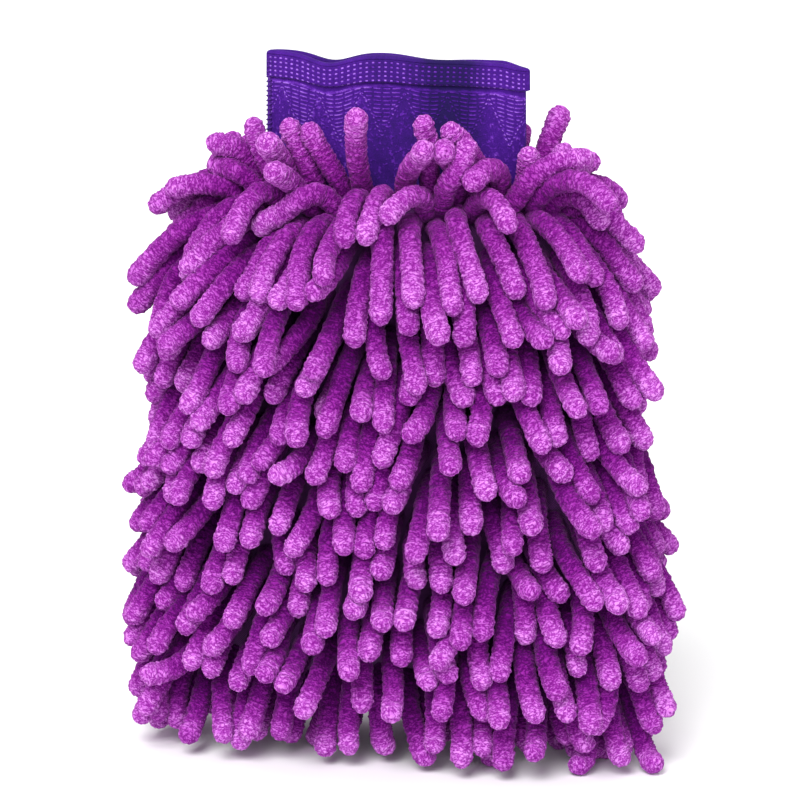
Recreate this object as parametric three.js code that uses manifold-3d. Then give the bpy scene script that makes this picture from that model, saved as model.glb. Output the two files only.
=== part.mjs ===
// Chenille wash mitt: two panels of base cloth covered in rows of chenille noodles and puffed
// out into a bag, an inner lining, and an elastic knit cuff whose front and back walls open for a hand.
// Units are millimetres, +Z is up, and the mitt stands on its lowest noodles at Z = 0.
// -Y is the front panel, +X is the right-hand side seen from the front.
import * as THREE from "three";
import Module from "manifold-3d";
import { mergeVertices } from "three/addons/utils/BufferGeometryUtils.js";

const wasm = await Module();
wasm.setup();

// ---------------------------------------------------------------- driving dimensions

const PANEL_GAP = 0.5; // each panel stands this far off the mitt's middle plane
const CLEARANCE = 0.4; // between a piece and its neighbour
const CLOTH_THICKNESS = 1.2;
const LINING_THICKNESS = 0.8;

// The bag made by the two panels of base cloth.
const OUTER_BAG = {
  bottom: 25,
  top: 213,
  lowHalfWidth: 88,
  highHalfWidth: 71,
  corner: 20,
  shoulder: 26,
  toe: 30,
  halfDepth: 19,
  neckHalfWidth: 48.5,
  neckHalfDepth: 10.6,
};

// The lining hangs inside it, clear of the seam allowance.
const LINING_BAG = {
  bottom: 35,
  top: 211.2,
  lowHalfWidth: 78,
  highHalfWidth: 61.5,
  corner: 18,
  shoulder: 26,
  toe: 26,
  halfDepth: 16.6,
  neckHalfWidth: 46.3,
  neckHalfDepth: 8.4,
};

const SEAM = { outerInset: 2.6, innerInset: 8, halfThickness: 0.9, top: 185 };

const CHENILLE_ROWS = 12;
const FIRST_ROW = 36;
const ROW_PITCH = 14.7;
const ROW_THICKNESS = 7.5; // measured across the noodles
const NOODLE_LENGTH = 34;
const TOE_NOODLE_LENGTH = 41; // the lowest row is cut flat where it stands on the ground
const NOODLES_PER_ROW = 12;
const ROOT_STRIP = 6; // noodles of a row are joined over this length by the yarn's own turns
const ROW_END = 0.965; // a row stops just short of the side seam
const DROOP_TOP = 32; // degrees below the surface normal, at the shoulder
const DROOP_BOTTOM = 52; // and at the toe

const CROWN = { low: 205.6, high: 211.4, length: 34, lift: 52, noodles: 9, end: 0.9 };

const CUFF = {
  bottom: 213.5,
  top: 265,
  baseHalfWidth: 48.2,
  baseHalfDepth: 10.3,
  mouthHalfWidth: 47.6,
  mouthHalfDepth: 8,
  thickness: 1.6,
  clearance: 0.5,
  sideGap: 0.05, // radians left open at each side, where the two halves meet
};
const HEM = { height: 10, leg: 1, fold: 1.3 };
const ELASTIC = { height: 3.6, thickness: 1.3 };
const SIDE_SEAM = { low: 216, high: 254, thickness: 1.4, from: -1.53, to: -1.2 };
const JOIN_STITCH = { low: 213.4, high: 214.3, offset: 0.9, width: 1.4 };

const COLOURS = {
  chenille: 0xa03cb4,
  baseCloth: 0x6d1f80,
  lining: 0x8a5aa0,
  knit: 0x54239a,
  elastic: 0x2c1458,
  thread: 0x6a3bb0,
};

// ---------------------------------------------------------------- closed solids

function signedVolume(points, triangles) {
  let volume = 0;
  for (const [a, b, c] of triangles) {
    volume += points[a].dot(new THREE.Vector3().crossVectors(points[b], points[c]));
  }
  return volume / 6;
}

function solid(points, triangles) {
  const outward = signedVolume(points, triangles) > 0;
  const order = outward ? triangles : triangles.map(([a, b, c]) => [a, c, b]);
  const geometry = new THREE.BufferGeometry();
  const positions = points.flatMap((p) => [p.x, p.y, p.z]);
  geometry.setAttribute("position", new THREE.Float32BufferAttribute(positions, 3));
  geometry.setIndex(order.flat());
  geometry.computeVertexNormals();
  return geometry;
}

// A slab between two sheets: outer(i, j) and inner(i, j) give matching grid points.
function slab(columns, rows, outer, inner) {
  const points = [];
  const index = (face, i, j) => (face * columns + i) * rows + j;
  for (const sheet of [outer, inner]) {
    for (let i = 0; i < columns; i += 1) {
      for (let j = 0; j < rows; j += 1) points.push(sheet(i, j));
    }
  }
  const triangles = [];
  const quad = (a, b, c, d) => triangles.push([a, b, c], [a, c, d]);
  for (let i = 0; i + 1 < columns; i += 1) {
    for (let j = 0; j + 1 < rows; j += 1) {
      quad(index(0, i, j), index(0, i + 1, j), index(0, i + 1, j + 1), index(0, i, j + 1));
      quad(index(1, i, j), index(1, i, j + 1), index(1, i + 1, j + 1), index(1, i + 1, j));
    }
  }
  const rim = (i, j, k, l) => quad(index(0, k, l), index(0, i, j), index(1, i, j), index(1, k, l));
  for (let i = 0; i + 1 < columns; i += 1) {
    rim(i, 0, i + 1, 0);
    rim(i + 1, rows - 1, i, rows - 1);
  }
  for (let j = 0; j + 1 < rows; j += 1) {
    rim(0, j + 1, 0, j);
    rim(columns - 1, j, columns - 1, j + 1);
  }
  return solid(points, triangles);
}

// A closed outline of [offset, height] points carried along stations by place(station, point).
function sweep(stations, outline, place, loop = false) {
  const points = stations.flatMap((station) => outline.map((point) => place(station, point)));
  const size = outline.length;
  const triangles = [];
  const spans = loop ? stations.length : stations.length - 1;
  for (let s = 0; s < spans; s += 1) {
    const here = s * size;
    const there = ((s + 1) % stations.length) * size;
    for (let k = 0; k < size; k += 1) {
      const next = (k + 1) % size;
      triangles.push([here + k, there + k, there + next], [here + k, there + next, here + next]);
    }
  }
  if (!loop) {
    const contour = outline.map(([x, y]) => new THREE.Vector2(x, y));
    const last = (stations.length - 1) * size;
    const forward = THREE.ShapeUtils.isClockWise(contour);
    for (const [a, b, c] of THREE.ShapeUtils.triangulateShape(contour, [])) {
      triangles.push(forward ? [a, c, b] : [a, b, c]);
      triangles.push(forward ? [last + a, last + b, last + c] : [last + a, last + c, last + b]);
    }
  }
  return solid(points, triangles);
}

function toManifold(geometry) {
  const bare = geometry.clone();
  bare.deleteAttribute("normal");
  bare.deleteAttribute("uv");
  const merged = mergeVertices(bare);
  return new wasm.Manifold(
    new wasm.Mesh({
      numProp: 3,
      vertProperties: new Float32Array(merged.attributes.position.array),
      triVerts: new Uint32Array(merged.index.array),
    }),
  );
}

function cutAtGround(geometry) {
  const depth = 60;
  const block = new THREE.BoxGeometry(400, 300, depth).translate(0, 0, -depth / 2);
  const mesh = toManifold(geometry).subtract(toManifold(block)).getMesh();
  const cut = new THREE.BufferGeometry();
  cut.setAttribute("position", new THREE.Float32BufferAttribute(mesh.vertProperties, 3));
  cut.setIndex(Array.from(mesh.triVerts));
  cut.computeVertexNormals();
  return cut;
}

// ---------------------------------------------------------------- bag surface

const { lerp, clamp, degToRad } = THREE.MathUtils;
const quarterRound = (k) => Math.sqrt(Math.max(0, 1 - k * k));

function halfWidth(bag, z) {
  const shoulderStart = bag.top - bag.shoulder;
  const rise = clamp((z - bag.bottom) / (shoulderStart - bag.bottom), 0, 1);
  const side = lerp(bag.lowHalfWidth, bag.highHalfWidth, rise);
  if (z > shoulderStart) {
    const k = (z - shoulderStart) / bag.shoulder;
    return lerp(bag.neckHalfWidth, bag.highHalfWidth, quarterRound(k));
  }
  const k = Math.max(0, (bag.bottom + bag.corner - z) / bag.corner);
  return side - bag.corner * (1 - quarterRound(k));
}

function halfDepth(bag, z) {
  const shoulderStart = bag.top - bag.shoulder;
  if (z > shoulderStart) {
    const k = (z - shoulderStart) / bag.shoulder;
    return lerp(bag.neckHalfDepth, bag.halfDepth, quarterRound(k));
  }
  const k = Math.max(0, (bag.bottom + bag.toe - z) / bag.toe);
  return bag.halfDepth * quarterRound(k);
}

// side is -1 for the front panel and +1 for the back; u runs from -1 to 1 across it.
function bagPoint(bag, side, u, z) {
  const angle = (u * Math.PI) / 2;
  const x = halfWidth(bag, z) * Math.sin(angle);
  const y = side * (halfDepth(bag, z) * Math.cos(angle) + PANEL_GAP);
  return new THREE.Vector3(x, y, z);
}

function bagNormal(bag, side, u, z) {
  const du = 0.01;
  const dz = 0.4;
  const low = Math.max(bag.bottom, z - dz);
  const high = Math.min(bag.top, z + dz);
  const across = bagPoint(bag, side, u + du, z).sub(bagPoint(bag, side, u - du, z));
  const up = bagPoint(bag, side, u, high).sub(bagPoint(bag, side, u, low));
  return across.cross(up).multiplyScalar(-side).normalize();
}

function panel(bag, side, thickness, columns, rows) {
  const middle = (bag.bottom + bag.top) / 2;
  const halfHeight = (bag.top - bag.bottom) / 2;
  const u = (i) => -1 + (2 * i) / (columns - 1);
  const z = (j) => middle - halfHeight * Math.cos((Math.PI * j) / (rows - 1));
  const outer = (i, j) => bagPoint(bag, side, u(i), z(j));
  const inner = (i, j) => {
    const point = outer(i, j).addScaledVector(bagNormal(bag, side, u(i), z(j)), -thickness);
    point.y = side * Math.max(side * point.y, PANEL_GAP / 2);
    return point;
  };
  return slab(columns, rows, outer, inner);
}

// ---------------------------------------------------------------- seam allowance

// The two cloth edges, overlocked together and turned inwards: a flat U along sides and toe.
function seamOutline(inset) {
  const bag = OUTER_BAG;
  const corner = bag.corner - inset;
  const cornerTop = bag.bottom + bag.corner;
  const sideX = halfWidth(bag, cornerTop) - inset;
  const right = [];
  const arcSteps = 6;
  for (let k = 0; k <= arcSteps; k += 1) {
    const angle = (Math.PI / 2) * (k / arcSteps);
    const x = sideX - corner + corner * Math.sin(angle);
    right.push(new THREE.Vector2(x, cornerTop - corner * Math.cos(angle)));
  }
  right.push(new THREE.Vector2(halfWidth(bag, SEAM.top) - inset, SEAM.top));
  const left = right.map((p) => new THREE.Vector2(-p.x, p.y)).reverse();
  return [...left, ...right];
}

function seamAllowance() {
  const edges = [seamOutline(SEAM.outerInset), seamOutline(SEAM.innerInset)];
  const face = (y) => (i, j) => new THREE.Vector3(edges[j][i].x, y, edges[j][i].y);
  return slab(edges[0].length, 2, face(-SEAM.halfThickness), face(SEAM.halfThickness));
}

// ---------------------------------------------------------------- chenille rows

// Columns at even spacing along the noodles' tips: a notch, then the two sides of each tip.
function fringeColumns(tip, end, noodles) {
  const samples = 240;
  const us = [];
  const lengths = [0];
  for (let k = 0; k <= samples; k += 1) us.push(-end + (2 * end * k) / samples);
  for (let k = 1; k <= samples; k += 1) {
    lengths.push(lengths[k - 1] + tip(us[k]).distanceTo(tip(us[k - 1])));
  }
  const uAt = (share) => {
    const wanted = share * lengths[samples];
    const k = Math.max(1, lengths.findIndex((length) => length >= wanted - 1e-9));
    const part = (wanted - lengths[k - 1]) / (lengths[k] - lengths[k - 1]);
    return lerp(us[k - 1], us[k], part);
  };
  const columns = [{ u: uAt(0), notch: true }];
  const tipSide = 0.16; // of a noodle's pitch, from its notch to its tip's side
  for (let n = 0; n < noodles; n += 1) {
    columns.push({ u: uAt((n + tipSide) / noodles), notch: false });
    columns.push({ u: uAt((n + 1 - tipSide) / noodles), notch: false });
    columns.push({ u: uAt((n + 1) / noodles), notch: true });
  }
  return columns;
}

// One row: rooted on the panel between heights low and high, pointing along direction(u).
function fringe(side, low, high, noodles, end, length, direction) {
  const middle = (low + high) / 2;
  const root = (u, z) => {
    const normal = bagNormal(OUTER_BAG, side, u, z);
    return bagPoint(OUTER_BAG, side, u, z).addScaledVector(normal, CLEARANCE);
  };
  const tip = (u) => root(u, middle).addScaledVector(direction(u), length);
  const columns = fringeColumns(tip, end, noodles);
  const reach = (i, j) => {
    if (j === 0) return 0;
    return columns[i].notch ? ROOT_STRIP : length;
  };
  // The straight root face bridges the rounded cloth, so it stands off by the cloth's bulge.
  const bulge = (u) => root(u, middle).sub(root(u, low).lerp(root(u, high), 0.5));
  const face = (z) => (i, j) => {
    const { u } = columns[i];
    return root(u, z).add(bulge(u)).addScaledVector(direction(u), reach(i, j));
  };
  return slab(columns.length, 2, face(high), face(low));
}

function chenilleRow(side, number) {
  const z = FIRST_ROW + number * ROW_PITCH;
  const rise = number / (CHENILLE_ROWS - 1);
  const droop = degToRad(lerp(DROOP_BOTTOM, DROOP_TOP, rise ** 1.6));
  const half = ROW_THICKNESS / 2 / Math.cos(Math.min(droop, degToRad(50)));
  const direction = (u) => {
    const normal = bagNormal(OUTER_BAG, side, u, z);
    const heading = normal.multiplyScalar(Math.cos(droop));
    heading.z -= Math.sin(droop);
    return heading.normalize();
  };
  const noodles = NOODLES_PER_ROW - (number % 2);
  const low = Math.max(OUTER_BAG.bottom + 3, z - half);
  const length = number === 0 ? TOE_NOODLE_LENGTH : NOODLE_LENGTH;
  const row = fringe(side, low, z + half, noodles, ROW_END, length, direction);
  return number === 0 ? cutAtGround(row) : row;
}

// The row next to the cuff stands up and outwards instead of hanging.
function crownRow(side) {
  const lift = degToRad(CROWN.lift);
  const direction = (u) => {
    const angle = (u * Math.PI) / 2;
    const outward = new THREE.Vector3(Math.sin(angle), side * Math.cos(angle), 0);
    outward.multiplyScalar(Math.cos(lift));
    outward.z += Math.sin(lift);
    return outward;
  };
  return fringe(side, CROWN.low, CROWN.high, CROWN.noodles, CROWN.end, CROWN.length, direction);
}

// ---------------------------------------------------------------- cuff

// A point on the cuff's outer ellipse grown by offset; angle 0 is the middle of the front.
function onCuff(angle, [offset, z]) {
  const rise = (z - CUFF.bottom) / (CUFF.top - CUFF.bottom);
  const a = lerp(CUFF.baseHalfWidth, CUFF.mouthHalfWidth, rise) + offset;
  const b = lerp(CUFF.baseHalfDepth, CUFF.mouthHalfDepth, rise) + offset;
  return new THREE.Vector3(a * Math.sin(angle), -b * Math.cos(angle), z);
}

// Angles across one half, closer together at the sides, where the flattened tube turns tightly.
function halfCuffAngles(side, steps) {
  const middle = side < 0 ? 0 : Math.PI;
  const reach = Math.PI / 2 - CUFF.sideGap;
  const angles = [];
  for (let k = 0; k <= steps; k += 1) {
    angles.push(middle + reach * Math.sin((Math.PI / 2) * (-1 + (2 * k) / steps)));
  }
  return angles;
}

const CUFF_STEPS = 18;

function cuffWall(side) {
  const top = CUFF.top - HEM.fold - ELASTIC.height - 2 * CUFF.clearance;
  const outline = [
    [0, CUFF.bottom],
    [0, top],
    [-CUFF.thickness, top],
    [-CUFF.thickness, CUFF.bottom],
  ];
  return sweep(halfCuffAngles(side, CUFF_STEPS), outline, onCuff);
}

// The hem is the knit folded over the wall's top edge and over the elastic.
function cuffHem(side) {
  const bottom = CUFF.top - HEM.height;
  const ceiling = CUFF.top - HEM.fold;
  const outerIn = CUFF.clearance;
  const outerOut = outerIn + HEM.leg;
  const innerOut = -CUFF.thickness - CUFF.clearance;
  const innerIn = innerOut - HEM.leg;
  const outline = [
    [outerOut, bottom],
    [outerOut, CUFF.top],
    [innerIn, CUFF.top],
    [innerIn, bottom],
    [innerOut, bottom],
    [innerOut, ceiling],
    [outerIn, ceiling],
    [outerIn, bottom],
  ];
  return sweep(halfCuffAngles(side, CUFF_STEPS), outline, onCuff);
}

function cuffElastic(side) {
  const high = CUFF.top - HEM.fold - CUFF.clearance;
  const low = high - ELASTIC.height;
  const out = -(CUFF.thickness - ELASTIC.thickness) / 2;
  const inside = out - ELASTIC.thickness;
  const outline = [
    [out, low],
    [out, high],
    [inside, high],
    [inside, low],
  ];
  return sweep(halfCuffAngles(side, CUFF_STEPS), outline, onCuff);
}

function cuffSideSeam() {
  const outline = [
    [CUFF.clearance, SIDE_SEAM.low],
    [CUFF.clearance + SIDE_SEAM.thickness, SIDE_SEAM.low],
    [CUFF.clearance + SIDE_SEAM.thickness, SIDE_SEAM.high],
    [CUFF.clearance, SIDE_SEAM.high],
  ];
  const steps = 6;
  const angles = [];
  for (let k = 0; k <= steps; k += 1) angles.push(lerp(SIDE_SEAM.from, SIDE_SEAM.to, k / steps));
  return sweep(angles, outline, onCuff);
}

function joinStitching() {
  const { low, high, offset, width } = JOIN_STITCH;
  const outline = [
    [offset, low],
    [offset + width, low],
    [offset + width, high],
    [offset, high],
  ];
  const steps = 36;
  const angles = [];
  for (let k = 0; k < steps; k += 1) angles.push((2 * Math.PI * k) / steps);
  return sweep(angles, outline, onCuff, true);
}

// ---------------------------------------------------------------- assembly

function fabric(color) {
  return new THREE.MeshStandardMaterial({ color, roughness: 0.95, metalness: 0 });
}

const mitt = new THREE.Group();
mitt.name = "wash_mitt";

function add(name, geometry, color) {
  const mesh = new THREE.Mesh(geometry, fabric(color));
  mesh.name = name;
  mitt.add(mesh);
}

for (const [half, side] of [["front", -1], ["back", 1]]) {
  add(`${half}_base_cloth`, panel(OUTER_BAG, side, CLOTH_THICKNESS, 17, 12), COLOURS.baseCloth);
  add(`${half}_lining`, panel(LINING_BAG, side, LINING_THICKNESS, 13, 9), COLOURS.lining);
  for (let number = 0; number < CHENILLE_ROWS; number += 1) {
    const label = String(number + 1).padStart(2, "0");
    add(`${half}_chenille_row_${label}`, chenilleRow(side, number), COLOURS.chenille);
  }
  add(`${half}_crown_chenille`, crownRow(side), COLOURS.chenille);
  add(`cuff_${half}_wall`, cuffWall(side), COLOURS.knit);
  add(`cuff_${half}_hem`, cuffHem(side), COLOURS.knit);
  add(`cuff_${half}_elastic`, cuffElastic(side), COLOURS.elastic);
}
add("panel_seam_allowance", seamAllowance(), COLOURS.baseCloth);
add("cuff_side_seam", cuffSideSeam(), COLOURS.thread);
add("cuff_join_stitching", joinStitching(), COLOURS.thread);

export default mitt;
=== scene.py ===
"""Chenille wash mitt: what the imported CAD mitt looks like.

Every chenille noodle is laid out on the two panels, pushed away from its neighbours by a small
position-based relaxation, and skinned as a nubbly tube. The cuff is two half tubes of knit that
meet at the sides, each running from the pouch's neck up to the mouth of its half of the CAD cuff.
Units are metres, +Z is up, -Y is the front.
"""

import math

import bpy
import numpy as np
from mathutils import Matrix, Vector


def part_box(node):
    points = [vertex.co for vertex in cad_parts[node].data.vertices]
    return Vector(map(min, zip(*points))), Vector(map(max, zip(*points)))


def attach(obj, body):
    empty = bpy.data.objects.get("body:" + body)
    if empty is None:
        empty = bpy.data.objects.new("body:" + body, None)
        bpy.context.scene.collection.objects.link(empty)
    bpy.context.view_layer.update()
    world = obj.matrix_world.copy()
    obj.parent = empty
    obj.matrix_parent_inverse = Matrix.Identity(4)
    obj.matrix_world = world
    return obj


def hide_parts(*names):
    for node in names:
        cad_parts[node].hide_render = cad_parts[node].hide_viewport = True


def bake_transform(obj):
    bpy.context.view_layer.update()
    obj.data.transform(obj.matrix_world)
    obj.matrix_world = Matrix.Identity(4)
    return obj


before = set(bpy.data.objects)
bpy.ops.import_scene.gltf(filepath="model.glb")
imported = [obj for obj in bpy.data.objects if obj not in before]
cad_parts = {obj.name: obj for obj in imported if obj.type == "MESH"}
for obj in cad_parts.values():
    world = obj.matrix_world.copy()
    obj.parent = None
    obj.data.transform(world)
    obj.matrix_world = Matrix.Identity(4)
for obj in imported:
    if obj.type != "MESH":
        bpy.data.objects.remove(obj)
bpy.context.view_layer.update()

SIDES = (("front", -1), ("back", 1))
MM = 0.001
rng = np.random.default_rng(11)

# ---------------------------------------------------------------- driving dimensions

PANEL_GAP = 0.5 * MM
CLOTH_THICKNESS = 1.2 * MM
LINING_THICKNESS = 0.8 * MM

CUFF_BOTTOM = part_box("cuff_front_wall")[0].z
CUFF_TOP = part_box("cuff_front_hem")[1].z
CUFF_BASE = (48.2 * MM, 10.3 * MM)  # half width and half depth
CUFF_MOUTH = (47.6 * MM, 5.6 * MM)  # the knit lies flatter at rest than the CAD's stiff wall
CUFF_THICKNESS = 1.6 * MM
HEM_HEIGHT = 10 * MM

ROWS = sum(name.startswith("front_chenille_row_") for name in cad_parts)
FIRST_ROW = 36 * MM
ROW_PITCH = 14.7 * MM

NOODLE_RADIUS = 4.0 * MM
NOODLE_PITCH = 10.3 * MM  # measured a little way out from the cloth, where the noodles spread
NOODLE_LENGTH = 38 * MM
CHAIN = 8  # points along each noodle in the relaxation

# ---------------------------------------------------------------- bag surface


def unit(v):
    return v / np.maximum(np.linalg.norm(v, axis=-1, keepdims=True), 1e-12)


def quarter_round(k):
    return np.sqrt(np.clip(1 - k * k, 0, 1))


class Bag:
    """The surface of a flat bag, as the CAD has it, in u from -1 to 1 across a panel and height."""

    def __init__(self, node, low, high, corner, toe, depth, neck, neck_depth):
        self.bottom, self.top = (point.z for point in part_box(node))
        self.low, self.high, self.corner, self.toe = low, high, corner, toe
        self.depth, self.neck, self.neck_depth = depth, neck, neck_depth
        self.shoulder = 26 * MM

    def half_width(self, z):
        shoulder_start = self.top - self.shoulder
        rise = np.clip((z - self.bottom) / (shoulder_start - self.bottom), 0, 1)
        side = self.low + (self.high - self.low) * rise
        k = np.clip((z - shoulder_start) / self.shoulder, 0, 1)
        shoulder = self.neck + (self.high - self.neck) * quarter_round(k)
        k = np.clip((self.bottom + self.corner - z) / self.corner, 0, 1)
        lower = side - self.corner * (1 - quarter_round(k))
        return np.where(z > shoulder_start, shoulder, lower)

    def half_depth(self, z):
        shoulder_start = self.top - self.shoulder
        k = np.clip((z - shoulder_start) / self.shoulder, 0, 1)
        shoulder = self.neck_depth + (self.depth - self.neck_depth) * quarter_round(k)
        k = np.clip((self.bottom + self.toe - z) / self.toe, 0, 1)
        return np.where(z > shoulder_start, shoulder, self.depth * quarter_round(k))

    def point(self, side, u, z):
        angle = u * math.pi / 2
        x = self.half_width(z) * np.sin(angle)
        y = side * (self.half_depth(z) * np.cos(angle) + PANEL_GAP)
        return np.stack(np.broadcast_arrays(x, y, z), -1)

    def normal(self, side, u, z):
        du, dz = 0.01, 0.4 * MM
        low = np.maximum(self.bottom, z - dz)
        high = np.minimum(self.top, z + dz)
        across = self.point(side, u + du, z) - self.point(side, u - du, z)
        up = self.point(side, u, high) - self.point(side, u, low)
        return unit(np.cross(across, up)) * -side


OUTER_BAG = Bag(
    "front_base_cloth", low=88 * MM, high=71 * MM, corner=20 * MM, toe=30 * MM,
    depth=19 * MM, neck=48.5 * MM, neck_depth=10.6 * MM,
)
LINING_BAG = Bag(
    "front_lining", low=78 * MM, high=61.5 * MM, corner=18 * MM, toe=26 * MM,
    depth=16.6 * MM, neck=46.3 * MM, neck_depth=8.4 * MM,
)


# ---------------------------------------------------------------- noodle placement


class Noodles:
    """Root points, target directions and lengths of a set of noodles, and the node each is in.

    A noodle leaves the cloth along start, turns to hang, and curl bends it further at its tip.
    """

    def __init__(self):
        self.node, self.root, self.length = [], [], []
        self.start, self.hang, self.curl = [], [], []

    def add(self, node, root, start, hang, curl, length):
        self.node += [node] * len(root)
        self.root.append(root)
        self.start.append(unit(start))
        self.hang.append(unit(hang))
        self.curl.append(curl)
        self.length.append(length)

    def join(self):
        for name in ("root", "start", "hang", "curl", "length"):
            setattr(self, name, np.concatenate(getattr(self, name)))


SPREAD = 12 * MM  # how far out from the cloth the noodles are evenly spaced
ROOT_SCATTER = 4.5  # millimetres that a root may lie above or below its row
FULLER_BELOW = 150 * MM  # height under which the noodles on the right are longer


def even_places(side, z, pitch, shift, jitter=0.13):
    """u values at even distances along the panel at height z, measured SPREAD out from it."""
    u = np.linspace(-1, 1, 400)
    heights = np.full_like(u, z)
    line = OUTER_BAG.point(side, u, heights) + SPREAD * OUTER_BAG.normal(side, u, heights)
    arc = np.concatenate([[0], np.cumsum(np.linalg.norm(np.diff(line, axis=0), axis=1))])
    count = int(round(arc[-1] / pitch))
    wanted = (np.arange(count) + 0.5 + shift) * arc[-1] / count
    wanted += rng.uniform(-jitter, jitter, count) * pitch
    return np.interp(wanted, arc, u)


DOWN = np.array([0.0, 0.0, -1.0])
UP = -DOWN


def tousle(root, steady, loose):
    """Small changes of direction: neighbours share the steady part, the loose part is their own."""
    x, y, z = (root / (17 * MM)).T
    shared = np.stack([np.sin(1.1 * x + 0.7 * z + y), np.sin(0.8 * z - x), np.sin(1.3 * z + 2 * y)], 1)
    return steady * shared + rng.normal(0, loose, root.shape)


def sideways(root, strength):
    lean = np.zeros(root.shape)
    lean[:, 0] = strength * root[:, 0] / OUTER_BAG.low
    return lean


def hanging_row(noodles, node, side, z, shift, out, fan, length, droop=0.15):
    """Noodles that leave the cloth, square to it on the faces and lower at the sides, and hang."""
    u = even_places(side, z, NOODLE_PITCH, shift)
    root = OUTER_BAG.point(side, u, z + rng.uniform(-ROOT_SCATTER, ROOT_SCATTER, len(u)) * MM)
    normal = OUTER_BAG.normal(side, u, root[:, 2])
    edge = (u**2)[:, None]
    bend = tousle(root, 0.13, 0.1)
    # gravity has more hold on the noodles that leave the mitt's sides
    start = normal + (0.1 + 1.1 * edge) * DOWN + 0.5 * bend
    lean = sideways(root, fan) * (1 - 0.45 * edge**2)
    hang = out * (1 - 0.76 * edge**2) * normal + DOWN + lean + bend
    curl = droop * DOWN + rng.normal(0, 0.3, root.shape)
    # the mitt stands a little fuller low down on its right
    length = length * (1 + 0.13 * np.maximum(u, 0) * (z < FULLER_BELOW))
    noodles.add(node, root, start, hang, curl, length * (1 + rng.normal(0, 0.1, len(u))))


def panel_rows(noodles, name, side):
    for number in range(ROWS):
        rise = number / (ROWS - 1)
        z = FIRST_ROW + number * ROW_PITCH
        shift = 0.24 if number % 2 else -0.24
        node = f"{name}_chenille_row_{number + 1:02d}"
        fan = 0.17 + 0.85 * rise**3
        length = NOODLE_LENGTH * (0.94 + 0.18 * rise**2)
        out = 0.45 + 0.7 * min(number / 3, 1) - 0.5 * rise
        hanging_row(noodles, node, side, z, shift, out, fan, length)
    toe = OUTER_BAG.bottom + 3.5 * MM
    hanging_row(
        noodles, f"{name}_chenille_row_01", side, toe, shift=0.24, out=0.35, fan=0.5,
        length=26 * MM,
    )


HANGING_RING = 205.5 * MM  # the heights of the crown's three rings
LEANING_RING = 209 * MM
STANDING_RING = 212 * MM
CROWN_LEAN = np.array([-0.35, 0.0, 0.0])  # the standing noodles lean to the left


def crown_rows(noodles, name, side):
    """Three rings round the neck: one hangs over the shoulders, one leans out, one stands up."""
    node = f"{name}_crown_chenille"
    hanging_row(
        noodles, node, side, HANGING_RING, shift=-0.1, out=0.7, fan=1.3, length=45 * MM,
        droop=1.0,
    )
    for z, pitch, shift in ((LEANING_RING, 10.7 * MM, 0.25), (STANDING_RING, 9.8 * MM, -0.2)):
        u = even_places(side, z, pitch, shift, 0.3)
        root = OUTER_BAG.point(side, u, np.full(len(u), z))
        outward = unit(root * [1, 2.5, 0])
        edge = (u**2)[:, None]
        bend = tousle(root, 0.1, 0.26)
        limp = rng.uniform(0, 1, (len(u), 1))
        if z == LEANING_RING:
            length = 37 * MM
            start = outward + 1.3 * UP + 0.3 * bend
            hang = outward + (0.4 - 0.5 * edge) * UP + 1.3 * bend
            curl = (0.5 + 1.3 * limp) * DOWN + 1.2 * bend
        else:
            length = 38 * MM * (1 - 0.34 * u**2)
            start = outward + 1.6 * UP + 0.3 * bend
            hang = outward * (1 - 0.3 * edge) + (2.2 - 0.8 * limp) * UP + 1.6 * bend + CROWN_LEAN
            curl = (1.2 * limp - 0.3) * DOWN + 1.5 * bend
        noodles.add(node, root, start, hang, curl, length * (1 + rng.normal(0, 0.12, len(u))))


# ---------------------------------------------------------------- noodle relaxation

CUFF_OPENING_SLOPE = math.tan(math.radians(20))  # room for the cuff to open
TOUCH = 7.8 * MM  # chenille gives a little where two noodles press together
PUSH_SHARE = 0.42  # of an overlap, how much each of the two noodles gives way in one step
LARGEST_PUSH = 2 * MM
SEARCH_MARGIN = 4 * MM  # pairs of points this much further apart than TOUCH are watched too
GROUND_ROOM = 0.9 * MM  # between a noodle's radius and the ground, for the pile


def keep_out(points, radius):
    """Pushes points out of the bag, out of the space the cuff opens into, and off the ground."""
    z = points[..., 2]
    above = np.maximum(z - OUTER_BAG.top, 0)
    a = OUTER_BAG.half_width(z)
    b = OUTER_BAG.half_depth(z) + above * CUFF_OPENING_SLOPE
    below = np.maximum(OUTER_BAG.bottom - z, 0)
    x, y = points[..., 0] / a, points[..., 1] / np.maximum(b, 1e-4)
    level = np.sqrt(x * x + y * y) + 1e-9
    gradient = np.stack([x / a, y / np.maximum(b, 1e-4), np.zeros_like(x)], -1)
    slope = np.linalg.norm(gradient, axis=-1) / level
    depth = radius - (level - 1) / np.maximum(slope, 1e-6)
    push = np.where((depth > 0) & (below < radius), depth, 0)
    points += unit(gradient) * push[..., None]
    points[..., 2] = np.maximum(points[..., 2], radius + GROUND_ROOM)


def close_pairs(points, chain_of, reach):
    """Pairs of points of different noodles closer than reach."""
    first, second = [], []
    squares = (points**2).sum(1)
    block = 1024
    for s in range(0, len(points), block):
        near = squares[s : s + block, None] + squares[None, :]
        near -= 2 * points[s : s + block] @ points.T
        i, j = np.nonzero(near < reach * reach)
        i += s
        keep = (i < j) & (chain_of[i] != chain_of[j])
        first.append(i[keep])
        second.append(j[keep])
    return np.concatenate(first), np.concatenate(second)


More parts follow.
